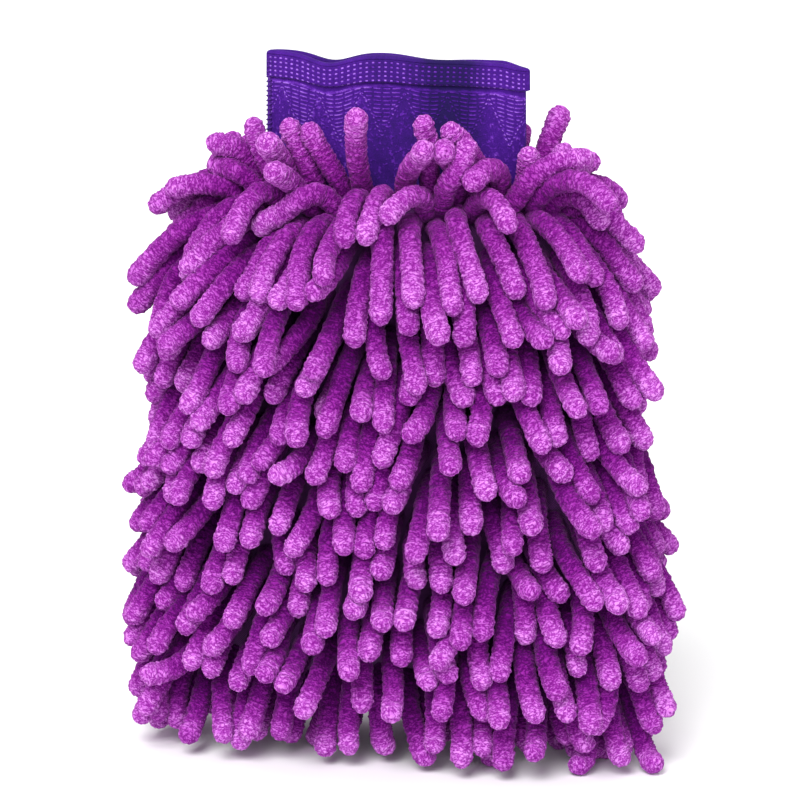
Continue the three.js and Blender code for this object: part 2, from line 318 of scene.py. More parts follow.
def relax(noodles, steps=150):
    """Chains of touching spheres that settle between where they point and what they press on."""
    count = len(noodles.root)
    segment = (noodles.length / (CHAIN - 1))[:, None]
    along = np.linspace(0, 1, CHAIN)
    turn = np.clip(along * 1.45, 0, 1)
    turn = turn * turn * (3 - 2 * turn)
    curls = np.clip(along * 1.5 - 0.5, 0, 1)
    aims = [
        unit(noodles.start * (1 - t) + noodles.hang * t + noodles.curl * c)
        for t, c in zip(turn, curls)
    ]
    chains = np.zeros((count, CHAIN, 3))
    chains[:, 0] = noodles.root
    for k in range(1, CHAIN):
        chains[:, k] = chains[:, k - 1] + segment * aims[k]
    chain_of = np.repeat(np.arange(count), CHAIN)
    rank = np.tile(np.arange(CHAIN), count)
    for step in range(steps):
        stiffness = 0.25 if step < steps // 2 else 0.12
        for k in range(1, CHAIN):
            wanted = chains[:, k - 1] + segment * aims[k]
            chains[:, k] += stiffness * (wanted - chains[:, k])
        points = chains.reshape(-1, 3)
        if step % 6 == 0:
            first, second = close_pairs(points, chain_of, TOUCH + SEARCH_MARGIN)
        gap = points[first] - points[second]
        distance = np.linalg.norm(gap, axis=1)
        overlap = np.maximum(TOUCH - distance, 0)
        push = gap / np.maximum(distance, 1e-6)[:, None] * (PUSH_SHARE * overlap)[:, None]
        for axis in range(3):
            shift = np.bincount(first, push[:, axis], len(points))
            shift -= np.bincount(second, push[:, axis], len(points))
            shift = np.clip(shift, -LARGEST_PUSH, LARGEST_PUSH)
            points[:, axis] += np.where(rank > 0, shift, 0)
        chains = points.reshape(count, CHAIN, 3)
        keep_out(chains[:, 1:], NOODLE_RADIUS)
        for k in range(1, CHAIN):
            step_out = unit(chains[:, k] - chains[:, k - 1])
            chains[:, k] = chains[:, k - 1] + segment * step_out
    return chains


# ---------------------------------------------------------------- noodle skin

RINGS = 84
AROUND = 28
PILE_KINDS = 16
PILE_HEIGHT = 0.75 * MM


def smoothed(field, along, around):
    for _ in range(around):
        field = (np.roll(field, 1, 2) + 2 * field + np.roll(field, -1, 2)) / 4
    for _ in range(along):
        field = (np.roll(field, 1, 1) + 2 * field + np.roll(field, -1, 1)) / 4
    return field / field.std()


def pile_fields():
    """Tufts that lie round the noodle, with creases between, as height from 0 to 1."""
    shape = (PILE_KINDS, RINGS, AROUND)
    tufts = np.abs(smoothed(rng.normal(size=shape), 1, 4))
    grain = np.abs(smoothed(rng.normal(size=shape), 1, 1))
    return np.clip(0.42 * tufts + 0.25 * grain, 0, 1) ** 0.75


def catmull(chains, t):
    """Points at share t of the way along each chain."""
    k = np.minimum((t * (CHAIN - 1)).astype(int), CHAIN - 2)
    f = (t * (CHAIN - 1) - k)[None, :, None]
    ends = np.concatenate(
        [2 * chains[:, :1] - chains[:, 1:2], chains, 2 * chains[:, -1:] - chains[:, -2:-1]], 1
    )
    p0, p1, p2, p3 = (ends[:, k + n] for n in range(4))
    return 0.5 * (
        2 * p1 + (p2 - p0) * f + (2 * p0 - 5 * p1 + 4 * p2 - p3) * f**2
        + (3 * p1 - p0 - 3 * p2 + p3) * f**3
    )


def ring_frames(lines):
    """Two unit vectors across each line at each of its points, carried along without twist."""
    tangent = unit(np.gradient(lines, axis=1))
    side = np.cross(tangent[:, 0], [0.3, 0.9, 0.2])
    sides = []
    for k in range(lines.shape[1]):
        side = unit(side - tangent[:, k] * (side * tangent[:, k]).sum(1, keepdims=True))
        sides.append(side)
    sides = np.stack(sides, 1)
    return tangent, sides, np.cross(tangent, sides)


def noodle_skins(chains, lengths, fields):
    """Vertices (noodle, ring, around), the height of the pile there, and the place on the yarn.

    The place is where a vertex would be if its noodle were straight and stood by itself, so a
    pattern made there follows the yarn through its bends.
    """
    count = len(chains)
    share = np.linspace(0, 1, RINGS) ** 0.93
    lines = catmull(chains, share)
    tangent, side, other = ring_frames(lines)
    from_tip = (1 - share)[None, :] * lengths[:, None]
    radius = NOODLE_RADIUS * (0.96 + rng.normal(0, 0.03, (count, 1)))
    cap = np.clip(1 - from_tip / (1.2 * radius), 0, 1)
    girth = radius * np.sqrt(1 - 0.99 * cap**2)
    girth *= 1 + 0.02 * np.sin(share * 60 + rng.uniform(0, 6, (count, 1)))
    girth *= 1 + 0.05 * np.exp(-(((from_tip - 1.4 * radius) / (4.5 * MM)) ** 2))
    kinds = rng.integers(0, PILE_KINDS, count)
    rolls = rng.integers(0, AROUND, count)
    pile = np.stack([np.roll(fields[k], r, axis=1) for k, r in zip(kinds, rolls)])
    angle = np.arange(AROUND) * 2 * math.pi / AROUND
    # the pile stands square to the rounded tip too
    outward = (
        side[:, :, None] * np.cos(angle)[:, None] + other[:, :, None] * np.sin(angle)[:, None]
    )
    lift = (pile - 0.45) * PILE_HEIGHT
    across = girth[:, :, None] + lift * (1 - cap**2)[:, :, None]
    dimple = 0.15 * MM * np.clip(cap * 3 - 2, 0, 1) ** 2
    forward = lift * cap[:, :, None] - dimple[:, :, None]
    points = lines[:, :, None] + outward * across[..., None] + tangent[:, :, None] * forward[..., None]
    place = np.stack(
        [
            girth[:, :, None] * np.cos(angle),
            girth[:, :, None] * np.sin(angle),
            np.broadcast_to((share * lengths[:, None])[:, :, None], across.shape),
        ],
        -1,
    )
    place = place + rng.uniform(0, 1, (count, 1, 1, 3))
    return points, pile, place


def tube_faces(rings, around):
    """Quads of one open tube, and the uv of each of their corners."""
    r, a = np.meshgrid(np.arange(rings - 1), np.arange(around), indexing="ij")
    r, a = r.ravel(), a.ravel()
    b = (a + 1) % around
    quads = np.stack([r * around + a, r * around + b, (r + 1) * around + b, (r + 1) * around + a], 1)
    uv = np.stack([[a, r], [a + 1, r], [a + 1, r + 1], [a, r + 1]]).transpose(2, 0, 1)
    return quads, uv / [around, rings - 1]


def make_mesh(name, points, loops, sizes, uv=None, uv_name="OFBake"):
    mesh = bpy.data.meshes.new(name)
    mesh.vertices.add(len(points))
    mesh.vertices.foreach_set("co", points.astype(np.float32).ravel())
    mesh.loops.add(len(loops))
    mesh.loops.foreach_set("vertex_index", loops.astype(np.int32))
    mesh.polygons.add(len(sizes))
    starts = np.concatenate([[0], np.cumsum(sizes)[:-1]]).astype(np.int32)
    mesh.polygons.foreach_set("loop_start", starts)
    mesh.polygons.foreach_set("use_smooth", np.ones(len(sizes), bool))
    if uv is not None:
        layer = mesh.uv_layers.new(name=uv_name)
        layer.data.foreach_set("uv", uv.astype(np.float32).ravel())
    mesh.validate()
    mesh.update()
    piece = bpy.data.objects.new(name, mesh)
    bpy.context.scene.collection.objects.link(piece)
    return piece


def point_values(piece, name, values):
    attribute = piece.data.attributes.new(name, "FLOAT", "POINT")
    attribute.data.foreach_set("value", np.asarray(values, np.float32).ravel())


def point_vectors(piece, name, vectors):
    attribute = piece.data.attributes.new(name, "FLOAT_VECTOR", "POINT")
    attribute.data.foreach_set("vector", np.asarray(vectors, np.float32).ravel())


def noodle_piece(name, points, pile, place, open_to_light):
    """One mesh of closed noodles, each with its own cell of the uv square.

    Their colour is painted with shade that is darkest at the roots and fades out towards the tip, with
    less of it where the roots are open to light.
    """
    count = len(points)
    per = RINGS * AROUND + 2
    quads, quad_uv = tube_faces(RINGS, AROUND)
    vertices = np.zeros((count, per, 3))
    vertices[:, : per - 2] = points.reshape(count, -1, 3)
    vertices[:, per - 2] = points[:, 0].mean(1)
    vertices[:, per - 1] = points[:, -1].mean(1)
    ring = np.arange(AROUND)
    onward = (ring + 1) % AROUND
    root_fan = np.stack([onward, ring, np.full(AROUND, per - 2)], 1)
    last = (RINGS - 1) * AROUND
    tip_fan = np.stack([last + ring, last + onward, np.full(AROUND, per - 1)], 1)
    one_loops = np.concatenate([quads.ravel(), root_fan.ravel(), tip_fan.ravel()])
    one_sizes = np.concatenate([np.full(len(quads), 4), np.full(2 * AROUND, 3)])
    fan_u = np.stack([ring + 1, ring, ring + 0.5], 1) / AROUND
    root_uv = np.stack([fan_u, np.zeros_like(fan_u)], -1)
    tip_uv = np.stack([fan_u[:, [1, 0, 2]], np.ones_like(fan_u)], -1)
    one_uv = np.concatenate([quad_uv.reshape(-1, 2), root_uv.reshape(-1, 2), tip_uv.reshape(-1, 2)])
    loops = (one_loops[None] + np.arange(count)[:, None] * per).ravel()
    sizes = np.tile(one_sizes, count)
    cells = int(math.ceil(math.sqrt(count)))
    margin = 0.04
    corner = np.stack([np.arange(count) % cells, np.arange(count) // cells], 1)
    uv = (one_uv[None] * (1 - 2 * margin) + margin + corner[:, None]) / cells
    piece = make_mesh(name, vertices.reshape(-1, 3), loops, sizes, uv.reshape(-1, 2))
    heights = np.ones((count, per)) * 0.5
    heights[:, : per - 2] = pile.reshape(count, -1)
    point_values(piece, "pile", heights)
    # along: painted shade, dark at the roots and gone before the tip; open_to_light lifts it where the
    # roots are lit
    along = np.ones((count, per))
    along[:, : per - 2] = np.repeat(np.clip(np.linspace(0, 1.2, RINGS), 0, 1), AROUND)[None]
    along = open_to_light + (1 - open_to_light) * along
    point_values(piece, "along", along)
    tint = np.repeat(rng.uniform(0, 1, count)[:, None], per, 1)
    point_values(piece, "tint", tint)
    places = np.zeros((count, per, 3))
    places[:, : per - 2] = place.reshape(count, -1, 3)
    places[:, per - 2] = place[:, 0].mean(1)
    places[:, per - 1] = place[:, -1].mean(1)
    point_vectors(piece, "pile_place", places)
    return piece


# ---------------------------------------------------------------- materials


class Shader:
    """A Principled material and a few short ways to wire nodes into it."""

    def __init__(self, name, roughness, **fixed):
        self.material = bpy.data.materials.new(name)
        self.material.use_nodes = True
        self.tree = self.material.node_tree
        self.principled = self.tree.nodes["Principled BSDF"]
        self.principled.inputs["Roughness"].default_value = roughness
        for socket, value in fixed.items():
            self.principled.inputs[socket.replace("_", " ")].default_value = value

    def node(self, kind, **values):
        node = self.tree.nodes.new(kind)
        for name, value in values.items():
            setattr(node, name, value)
        return node

    def link(self, output, socket):
        self.tree.links.new(output, socket)

    def attribute(self, name, output="Fac"):
        return self.node("ShaderNodeAttribute", attribute_name=name).outputs[output]

    def scaled(self, vector, factors):
        node = self.node("ShaderNodeVectorMath", operation="MULTIPLY")
        self.link(vector, node.inputs[0])
        node.inputs[1].default_value = factors
        return node.outputs[0]

    def noise(self, scale, detail=2, roughness=0.5, vector=None):
        node = self.node("ShaderNodeTexNoise")
        node.inputs["Scale"].default_value = scale
        node.inputs["Detail"].default_value = detail
        node.inputs["Roughness"].default_value = roughness
        if vector is None:
            vector = self.node("ShaderNodeTexCoord").outputs["Object"]
        self.link(vector, node.inputs["Vector"])
        return node.outputs["Fac"]

    def axis(self, vector, index):
        node = self.node("ShaderNodeSeparateXYZ")
        self.link(vector, node.inputs[0])
        return node.outputs[index]

    def math(self, operation, a, b=0.0, clamp=False):
        node = self.node("ShaderNodeMath", operation=operation, use_clamp=clamp)
        for socket, value in zip(node.inputs, (a, b)):
            if isinstance(value, (int, float)):
                socket.default_value = value
            else:
                self.link(value, socket)
        return node.outputs[0]

    def product(self, first, *others):
        for other in others:
            first = self.math("MULTIPLY", first, other)
        return first

    def total(self, *weighted):
        """The sum of (value, weight) pairs."""
        parts = [self.math("MULTIPLY", value, weight) for value, weight in weighted]
        result = parts[0]
        for part in parts[1:]:
            result = self.math("ADD", result, part)
        return result

    def band(self, value, low, high, soft):
        """1 between low and high, 0 outside, with soft edges."""
        rise = self.math("DIVIDE", self.math("SUBTRACT", value, low), soft, clamp=True)
        fall = self.math("DIVIDE", self.math("SUBTRACT", high, value), soft, clamp=True)
        return self.math("MULTIPLY", rise, fall)

    def pulses(self, value, pitch, share):
        """1 in the middle share of each pitch, 0 between."""
        phase = self.math("FRACT", self.math("DIVIDE", value, pitch))
        off = self.math("ABSOLUTE", self.math("SUBTRACT", phase, 0.5))
        return self.math("MULTIPLY", self.math("SUBTRACT", share / 2 + 0.08, off), 7.0, clamp=True)

    def ramp(self, factor, *stops):
        node = self.node("ShaderNodeValToRGB")
        elements = node.color_ramp.elements
        while len(elements) < len(stops):
            elements.new(0.5)
        for element, (position, colour) in zip(elements, stops):
            element.position = position
            element.color = (*colour, 1)
        self.link(factor, node.inputs[0])
        return node.outputs[0]

    def colour(self, output):
        self.link(output, self.principled.inputs["Base Color"])

    def bump(self, height, distance, strength=1.0):
        node = self.node("ShaderNodeBump")
        node.inputs["Distance"].default_value = distance
        node.inputs["Strength"].default_value = strength
        self.link(height, node.inputs["Height"])
        self.link(node.outputs[0], self.principled.inputs["Normal"])


def chenille_material():
    """Tufts parted by a maze of creases that lie mostly round the yarn; painted shade darkens the
    creases, the pile's hollows and the roots.
    """
    s = Shader("chenille_pile", 0.9, Sheen_Weight=0.14, Sheen_Roughness=0.4)
    s.principled.inputs["Sheen Tint"].default_value = (1.0, 0.4, 1.0, 1)
    s.principled.inputs["Specular IOR Level"].default_value = 0.06
    yarn = s.scaled(s.attribute("pile_place", "Vector"), (1, 1, 1.9))
    # painted shade: the maze's creases darken the colour where shade falls between tufts, and they
    # also shape the bump
    maze = s.math("ABSOLUTE", s.math("SUBTRACT", s.noise(560, 1.5, 0.6, yarn), 0.5))
    tufts = s.math("MULTIPLY", maze, 9.0, clamp=True)
    fibres = s.noise(2100, 2, 0.6)
    # colour level: painted shade in the creases (tufts), in the pile's hollows (pile) and towards the
    # roots (along), with random tone from fibres and tint
    height = s.math("MULTIPLY", tufts, 0.22)
    for source, weight in (
        (s.attribute("pile"), 0.16),
        (fibres, 0.11),
        (s.math("POWER", s.attribute("along"), 2.4), 0.43),
        (s.attribute("tint"), 0.09),
    ):
        height = s.math("ADD", height, s.math("MULTIPLY", source, weight))
    s.colour(
        s.ramp(
            height,
            (0.16, (0.028, 0.001, 0.040)),
            (0.44, (0.095, 0.001, 0.120)),
            (0.65, (0.225, 0.015, 0.255)),
            (0.79, (0.400, 0.075, 0.450)),
            (0.94, (0.640, 0.230, 0.700)),
        )
    )
    s.bump(s.math("ADD", tufts, s.math("MULTIPLY", fibres, 0.7)), 0.5 * MM, 0.6)
    return s.material


CHENILLE = chenille_material()
# how much of the painted shade at the roots the crown's and the top row's noodles are spared
CROWN_ROOT_LIGHT = 0.62
TOP_ROW_ROOT_LIGHT = 0.35


def light_on_roots(node):
    """How much of the painted shade at the roots a node's noodles are spared: those of the crown and
    the top row stand further apart, open to light.
    """
    if "crown" in node:
        return CROWN_ROOT_LIGHT
    return TOP_ROW_ROOT_LIGHT if node.endswith(f"_{ROWS:02d}") else 0.0


def make_noodles():
    noodles = Noodles()
    for name, side in SIDES:
        panel_rows(noodles, name, side)
        crown_rows(noodles, name, side)
    noodles.join()
    chains = relax(noodles)
    chains[:, 0] -= 0.5 * MM * noodles.start
    points, pile, place = noodle_skins(chains, noodles.length, pile_fields())
    nodes = np.array(noodles.node)
    for node in sorted(set(noodles.node)):
        chosen = nodes == node
        piece = noodle_piece(
            f"{node}_noodles", points[chosen], pile[chosen], place[chosen], light_on_roots(node)
        )
        piece.data.materials.append(CHENILLE)
        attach(piece, "pouch")
        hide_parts(node)


make_noodles()

# ---------------------------------------------------------------- cloth pieces


def grid_quads(rows, columns, first=0):
    r, c = np.meshgrid(np.arange(rows - 1), np.arange(columns - 1), indexing="ij")
    corner = first + (r * columns + c).ravel()
    return np.stack([corner, corner + 1, corner + columns + 1, corner + columns], 1)


def shell(name, outer, inner):
    """A closed sheet between two surfaces given as (row, column) points, outer seen from outside."""
    rows, columns = outer.shape[:2]
    count = rows * columns
    quads = [grid_quads(rows, columns), grid_quads(rows, columns, count)[:, ::-1]]
    index = np.arange(count).reshape(rows, columns)
    rim = np.concatenate([index[0], index[1:, -1], index[-1, -2::-1], index[-2:0:-1, 0]])
    onward = np.roll(rim, -1)
    quads.append(np.stack([rim, rim + count, onward + count, onward], 1))
    quads = np.concatenate(quads)
    points = np.concatenate([outer.reshape(-1, 3), inner.reshape(-1, 3)])
    a, b, c = (points[quads[:, k]] for k in range(3))
    if (a * np.cross(b, c)).sum() < 0:
        quads = quads[:, ::-1]
    return make_mesh(name, points, quads.ravel(), np.full(len(quads), 4))


def swept(name, stations, closed=False):
    """A closed solid through the closed outlines at each station, (station, outline point)."""
    count, around = stations.shape[:2]
    quads, uv = tube_faces(count + closed, around)
    quads = quads % (count * around)
    loops, sizes = [quads.ravel()], [np.full(len(quads), 4)]
    uvs = [uv.reshape(-1, 2) * [0.46, 0.96] + 0.02]
    if not closed:
        ring = np.arange(around)
        loops += [ring[::-1], (count - 1) * around + ring]
        sizes += [[around], [around]]
        turn = ring * 2 * math.pi / around
        disc = np.stack([np.cos(turn), np.sin(turn)], 1) * 0.2
        uvs += [disc[::-1] + [0.75, 0.25], disc + [0.75, 0.75]]
    points = stations.reshape(-1, 3)
    loops, sizes = np.concatenate(loops), np.concatenate(sizes).astype(int)
    return make_mesh(name, points, loops, sizes, np.concatenate(uvs))


def tube(name, line, radius, around=8, closed=False):
    _, side, other = (part[0] for part in ring_frames(line[None]))
    angle = np.arange(around) * 2 * math.pi / around
    rings = side[:, None] * np.cos(angle)[:, None] + other[:, None] * np.sin(angle)[:, None]
    return swept(name, line[:, None] + radius * rings, closed)


def coil(line, radius, pitch, steps=9):
    """A thread wound round a line, one turn to each pitch."""
    _, side, other = (part[0] for part in ring_frames(line[None]))
    arc = np.concatenate([[0], np.cumsum(np.linalg.norm(np.diff(line, axis=0), axis=1))])
    turns = round(arc[-1] / pitch)
    at = np.linspace(0, arc[-1], turns * steps)
    phase = at / arc[-1] * turns * 2 * math.pi
    middle, side, other = (
        np.stack([np.interp(at, arc, part[:, k]) for k in range(3)], 1)
        for part in (line, side, other)
    )
    return middle + radius * (side * np.cos(phase)[:, None] + other * np.sin(phase)[:, None])


def joined(name, pieces):
    """One object out of several with the same material."""
    with bpy.context.temp_override(active_object=pieces[0], selected_editable_objects=pieces):
        bpy.ops.object.join()
    pieces[0].name = name
    return pieces[0]


def finished(piece, material, node, body="pouch"):
    piece.data.materials.clear()
    piece.data.materials.append(material)
    if body == "pouch":
        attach(piece, "pouch")
    else:
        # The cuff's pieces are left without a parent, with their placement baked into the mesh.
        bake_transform(piece)
    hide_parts(node)
    return piece


def woven_material(name, dark, light, thread, roughness):
    """Plain weave: warp and weft threads that pass over each other, with slubs."""
    s = Shader(name, roughness, Sheen_Weight=0.15)
    place = s.node("ShaderNodeTexCoord").outputs["Object"]
    across = s.math("SINE", s.math("MULTIPLY", s.axis(place, 0), 2 * math.pi / thread))
    along = s.math("SINE", s.math("MULTIPLY", s.axis(place, 2), 2 * math.pi / thread))
    weave = s.math("MULTIPLY", across, along)
    slubs = s.noise(260, 3, 0.6)
    height = s.total((weave, 0.22), (slubs, 0.7), (s.noise(2500, 2), 0.25))
    s.colour(s.ramp(height, (0.2, dark), (0.75, light)))
    s.bump(weave, 0.25 * MM, 0.6)
    return s.material


def panel_piece(name, bag, side, thickness, columns, rows, wrinkle):
    u, z = np.meshgrid(np.linspace(-1, 1, columns), np.linspace(bag.bottom, bag.top, rows))
    outer = bag.point(side, u, z)
    normal = bag.normal(side, u, z)
    sag = wrinkle(u, z)[..., None]
    outer = outer - normal * sag
    inner = outer - normal * thickness
    for surface, least in ((outer, 1.0), (inner, 0.4)):
        surface[..., 1] = side * np.maximum(side * surface[..., 1], least * PANEL_GAP)
    return shell(name, outer, inner)


def quilted(u, z):
    """The base cloth is drawn in a little along each line of stitching that holds a row."""
    phase = (z - FIRST_ROW) / ROW_PITCH
    line = np.exp(-(((phase - np.round(phase)) * ROW_PITCH / (1.2 * MM)) ** 2))
    puckers = 0.5 + 0.5 * np.sin(u * 150 + 2.1 * np.round(phase))
    return 0.45 * MM * line * (0.6 + 0.4 * puckers)


def gathered(u, z):
    """The lining hangs in soft upright folds that deepen towards the neck."""
    rise = (z - LINING_BAG.bottom) / (LINING_BAG.top - LINING_BAG.bottom)
    folds = 0.5 + 0.5 * np.sin(u * 17 + 0.8 * np.sin(z * 60) + 1.0)
    fine = 0.5 + 0.5 * np.sin(u * 61 + z * 90)
    edge = 1 - u**8
    return edge * (0.9 * MM * folds * (0.5 + 0.5 * rise) + 0.25 * MM * fine * rise)


def make_bag():
    # The base cloth's own purple is darkened to near black: painted shade for the gaps between the
    # noodles.
    base = woven_material(
        "base_cloth_weave", (0.035, 0.002, 0.05), (0.12, 0.012, 0.16), 0.9 * MM, 0.95
    )
    inside = woven_material(
        "lining_weave", (0.20, 0.09, 0.28), (0.38, 0.21, 0.48), 0.5 * MM, 0.7
    )
    pieces = {}
    for name, side in SIDES:
        node = f"{name}_base_cloth"
        piece = panel_piece(f"{node}_sheet", OUTER_BAG, side, CLOTH_THICKNESS, 121, 129, quilted)
        pieces[node] = finished(piece, base, node)
        node = f"{name}_lining"
        piece = panel_piece(f"{node}_sheet", LINING_BAG, side, LINING_THICKNESS, 121, 97, gathered)
        pieces[node] = finished(piece, inside, node)
    return pieces


bag_pieces = make_bag()

# ---------------------------------------------------------------- cuff


def hump(x, middle, width):
    return np.exp(-(((x - middle * MM) / (width * MM)) ** 2))


def step_up(x, low, high):
    t = np.clip((x / MM - low) / (high - low), 0, 1)
    return t * t * (3 - 2 * t)


def swell(side, x):
    """How far the slack knit stands out from its smooth oval, in metres at the mouth."""
    if side > 0:
        return MM * (1.2 * hump(x, 20, 14) - 2.2 * hump(x, -22, 12))
    return MM * (
        2.6 * hump(x, -24, 9) - 1.6 * hump(x, -5, 9) - 5.0 * hump(x, 20, 12) + 2.4 * hump(x, 41, 6)
    )


def rim_drop(side, x):
    """How far the rim lies below the cuff's highest point."""
    ends = 0.4 * step_up(x, -46, -30) + 1.7 * step_up(x, -4, 18) + 2.0 * step_up(x, 38, 48)
    dip = 3.0 * hump(x, -24, 9)
    if side > 0:
        dip += 1.0 * hump(x, 10, 14)
    return MM * (ends + dip)


def on_cuff(side, theta, offset, z):
    """A point of the knit tube. theta runs from -90 to 90 degrees across one side."""
    rise = np.clip((z - CUFF_BOTTOM) / (CUFF_TOP - CUFF_BOTTOM), 0, 1)
    a = CUFF_BASE[0] + (CUFF_MOUTH[0] - CUFF_BASE[0]) * rise + offset
    b = CUFF_BASE[1] + (CUFF_MOUTH[1] - CUFF_BASE[1]) * rise**0.7 + offset
    x = a * np.sin(theta)
    y = side * (b * np.cos(theta) + swell(side, x) * rise**0.8 * np.cos(theta) ** 0.5)
    return np.stack(np.broadcast_arrays(x, y, z - rim_drop(side, x) * rise**2), -1)


def cuff_angles(count):
    """Closer together at the sides, where the flattened tube turns tightly."""
    return math.pi / 2 * np.sin(math.pi / 2 * np.linspace(-1, 1, count))


def knit_places(piece, side):
    """Distance round the tube from the middle, and depth below the rim, for the stitch pattern, and
    how deep the knit sinks into a hollow, for painted shade.
    """
    spots = np.array([vertex.co for vertex in piece.data.vertices])
    theta = np.linspace(-math.pi / 2, math.pi / 2, 400)
    line = on_cuff(side, theta, 0.0, np.full(400, CUFF_TOP))
    arc = np.concatenate([[0], np.cumsum(np.linalg.norm(np.diff(line, axis=0), axis=1))])
    round_tube = np.interp(spots[:, 0], line[:, 0], arc - arc[-1] / 2)
    depth = CUFF_TOP - rim_drop(side, spots[:, 0]) - spots[:, 2]
    # painted shade: the deeper the slack knit sinks into a hollow, the darker its colour
    fold = np.clip(-swell(side, spots[:, 0]) / (4.5 * MM), 0, 1)
    point_vectors(piece, "knit_place", np.stack([round_tube, depth, np.zeros(len(spots))], 1))
    point_values(piece, "fold", fold)


KNIT_COLOURS = (
    (0.05, (0.009, 0.001, 0.060)),
    (0.38, (0.042, 0.002, 0.180)),
    (0.60, (0.100, 0.014, 0.320)),
    (0.90, (0.330, 0.130, 0.680)),
)
STITCH_PITCH = 2.3 * MM
COURSE_PITCH = 1.6 * MM


def knit_shader(name):
    s = Shader(name, 0.85, Sheen_Weight=0.2, Sheen_Roughness=0.35)
    s.principled.inputs["Sheen Tint"].default_value = (0.55, 0.35, 1.0, 1)
    s.principled.inputs["Specular IOR Level"].default_value = 0.2
    place = s.attribute("knit_place", "Vector")
    return s, s.axis(place, 0), s.axis(place, 1), s.noise(420, 2, 0.6), s.noise(1900, 2, 0.6)


def finish_knit(s, stitches, patches, fibres):
    # fold darkens the knit's colour in its hollows: painted shade
    level = s.total((stitches, 0.5), (patches, 0.3), (fibres, 0.42), (s.attribute("fold"), -0.36))
    s.colour(s.ramp(level, *KNIT_COLOURS))
    s.bump(s.total((stitches, 1.0), (fibres, 0.5)), 0.45 * MM, 0.8)
    return s.material


def hem_material():
    """Five courses of short light stitches in columns, under a plain folded edge."""
    s, across, depth, patches, fibres = knit_shader("knit_hem")
    columns = s.pulses(across, STITCH_PITCH, 0.42)
    courses = s.pulses(s.math("SUBTRACT", depth, 1.75 * MM), COURSE_PITCH, 0.38)
    rows = s.band(depth, 1.9 * MM, 9.6 * MM, 0.3 * MM)
    stitches = s.product(columns, courses, rows, s.math("ADD", patches, 0.45))
    return finish_knit(s, stitches, patches, fibres)


def wall_material():
    """Jacquard: wedges of long curved stitches hang from the hem between dotted slanting lines."""
    s, across, depth, patches, fibres = knit_shader("knit_jacquard")
    below = s.math("SUBTRACT", depth, 11.2 * MM)
    ridge = s.band(depth, 10.5 * MM, 11.7 * MM, 0.3 * MM)
    wave = s.math("PINGPONG", s.math("ADD", across, 300.5 * MM), 8 * MM)  # 0 to 8 mm and back
    reach = s.math("MULTIPLY", wave, 2.1)
    inside = s.math("DIVIDE", s.math("SUBTRACT", reach, below), 0.5 * MM, clamp=True)
    bow = s.math("SINE", s.math("MULTIPLY", across, 390))
    bowed = s.math("ADD", below, s.math("MULTIPLY", bow, 0.3 * MM))
    breaks = s.math("ADD", across, s.math("MULTIPLY", patches, 2.5 * MM))
    long_stitches = s.product(
        s.pulses(bowed, 1.45 * MM, 0.36), s.pulses(breaks, 3.6 * MM, 0.78), inside
    )
    slant = s.math("ABSOLUTE", s.math("SUBTRACT", s.math("SUBTRACT", reach, below), -1.6 * MM))
    dotted = s.product(
        s.math("SUBTRACT", 1.0, s.math("DIVIDE", slant, 1.1 * MM), clamp=True),
        s.pulses(below, 1.55 * MM, 0.4),
    )
    speckle = s.math("MULTIPLY", s.math("SUBTRACT", s.noise(700, 1, 0.5), 0.56), 9.0, clamp=True)
    specks = s.product(speckle, s.math("SUBTRACT", 1.0, inside), 0.75)
    stitches = s.total((long_stitches, 0.75), (dotted, 1.0), (specks, 0.7), (ridge, 0.55))
    stitches = s.product(stitches, s.math("ADD", patches, 0.4), s.band(depth, 10.3 * MM, 1.0, MM))
    return finish_knit(s, stitches, patches, fibres)


def thread_material(name, dark, light):
    s = Shader(name, 0.8, Sheen_Weight=0.1)
    s.principled.inputs["Sheen Tint"].default_value = (*light, 1)
    s.principled.inputs["Specular IOR Level"].default_value = 0.15
    plies = s.noise(1500, 3, 0.7)
    s.colour(s.ramp(plies, (0.3, dark), (0.7, light)))
    s.bump(plies, 0.2 * MM, 0.7)
    return s.material


def elastic_material():
    s = Shader("elastic_ribbed", 0.6, Sheen_Weight=0.2)
    across = s.axis(s.attribute("knit_place", "Vector"), 0)
    ribs = s.pulses(across, 1.1 * MM, 0.5)
    level = s.total((ribs, 0.5), (s.noise(900, 2), 0.5))
    s.colour(s.ramp(level, (0.2, (0.012, 0.004, 0.04)), (0.8, (0.06, 0.02, 0.16))))
    s.bump(ribs, 0.3 * MM, 0.7)
    return s.material


def hem_outline():
    """(offset, height below the rim) round the folded knit, clockwise seen from the side."""
    outside, inside, leg = 1.4 * MM, -3.0 * MM, MM
    turn = np.linspace(math.pi, 0, 9)
    radius = (outside - inside) / 2
    middle = (outside + inside) / 2
    fold = [(middle - radius * math.cos(a), 1.5 * MM * (1 - math.sin(a))) for a in turn]
    inner_leg = [(inside, d) for d in np.linspace(HEM_HEIGHT, 1.6 * MM, 8)]
    outer_leg = [(outside, d) for d in np.linspace(1.6 * MM, HEM_HEIGHT - 0.4 * MM, 26)]
    under = [(outside - leg, HEM_HEIGHT), (outside - leg, 1.7 * MM), (inside + leg, 1.7 * MM)]
    return np.array([*inner_leg, *fold, *outer_leg, *under, (inside + leg, HEM_HEIGHT)])


def hem_piece(name, side):
    theta = cuff_angles(241)
    outline = hem_outline()
    ribs = 0.12 * MM * np.cos(theta * CUFF_MOUTH[0] * 2 * math.pi / STITCH_PITCH)
    offset = outline[None, :, 0] + ribs[:, None] * (outline[None, :, 0] > 0)
    stations = on_cuff(side, theta[:, None], offset, CUFF_TOP - outline[None, :, 1])
    return swept(f"cuff_{name}_hem_knit", stations if side > 0 else stations[::-1])


WALL_TOP = CUFF_TOP - 6.5 * MM  # inside the hem


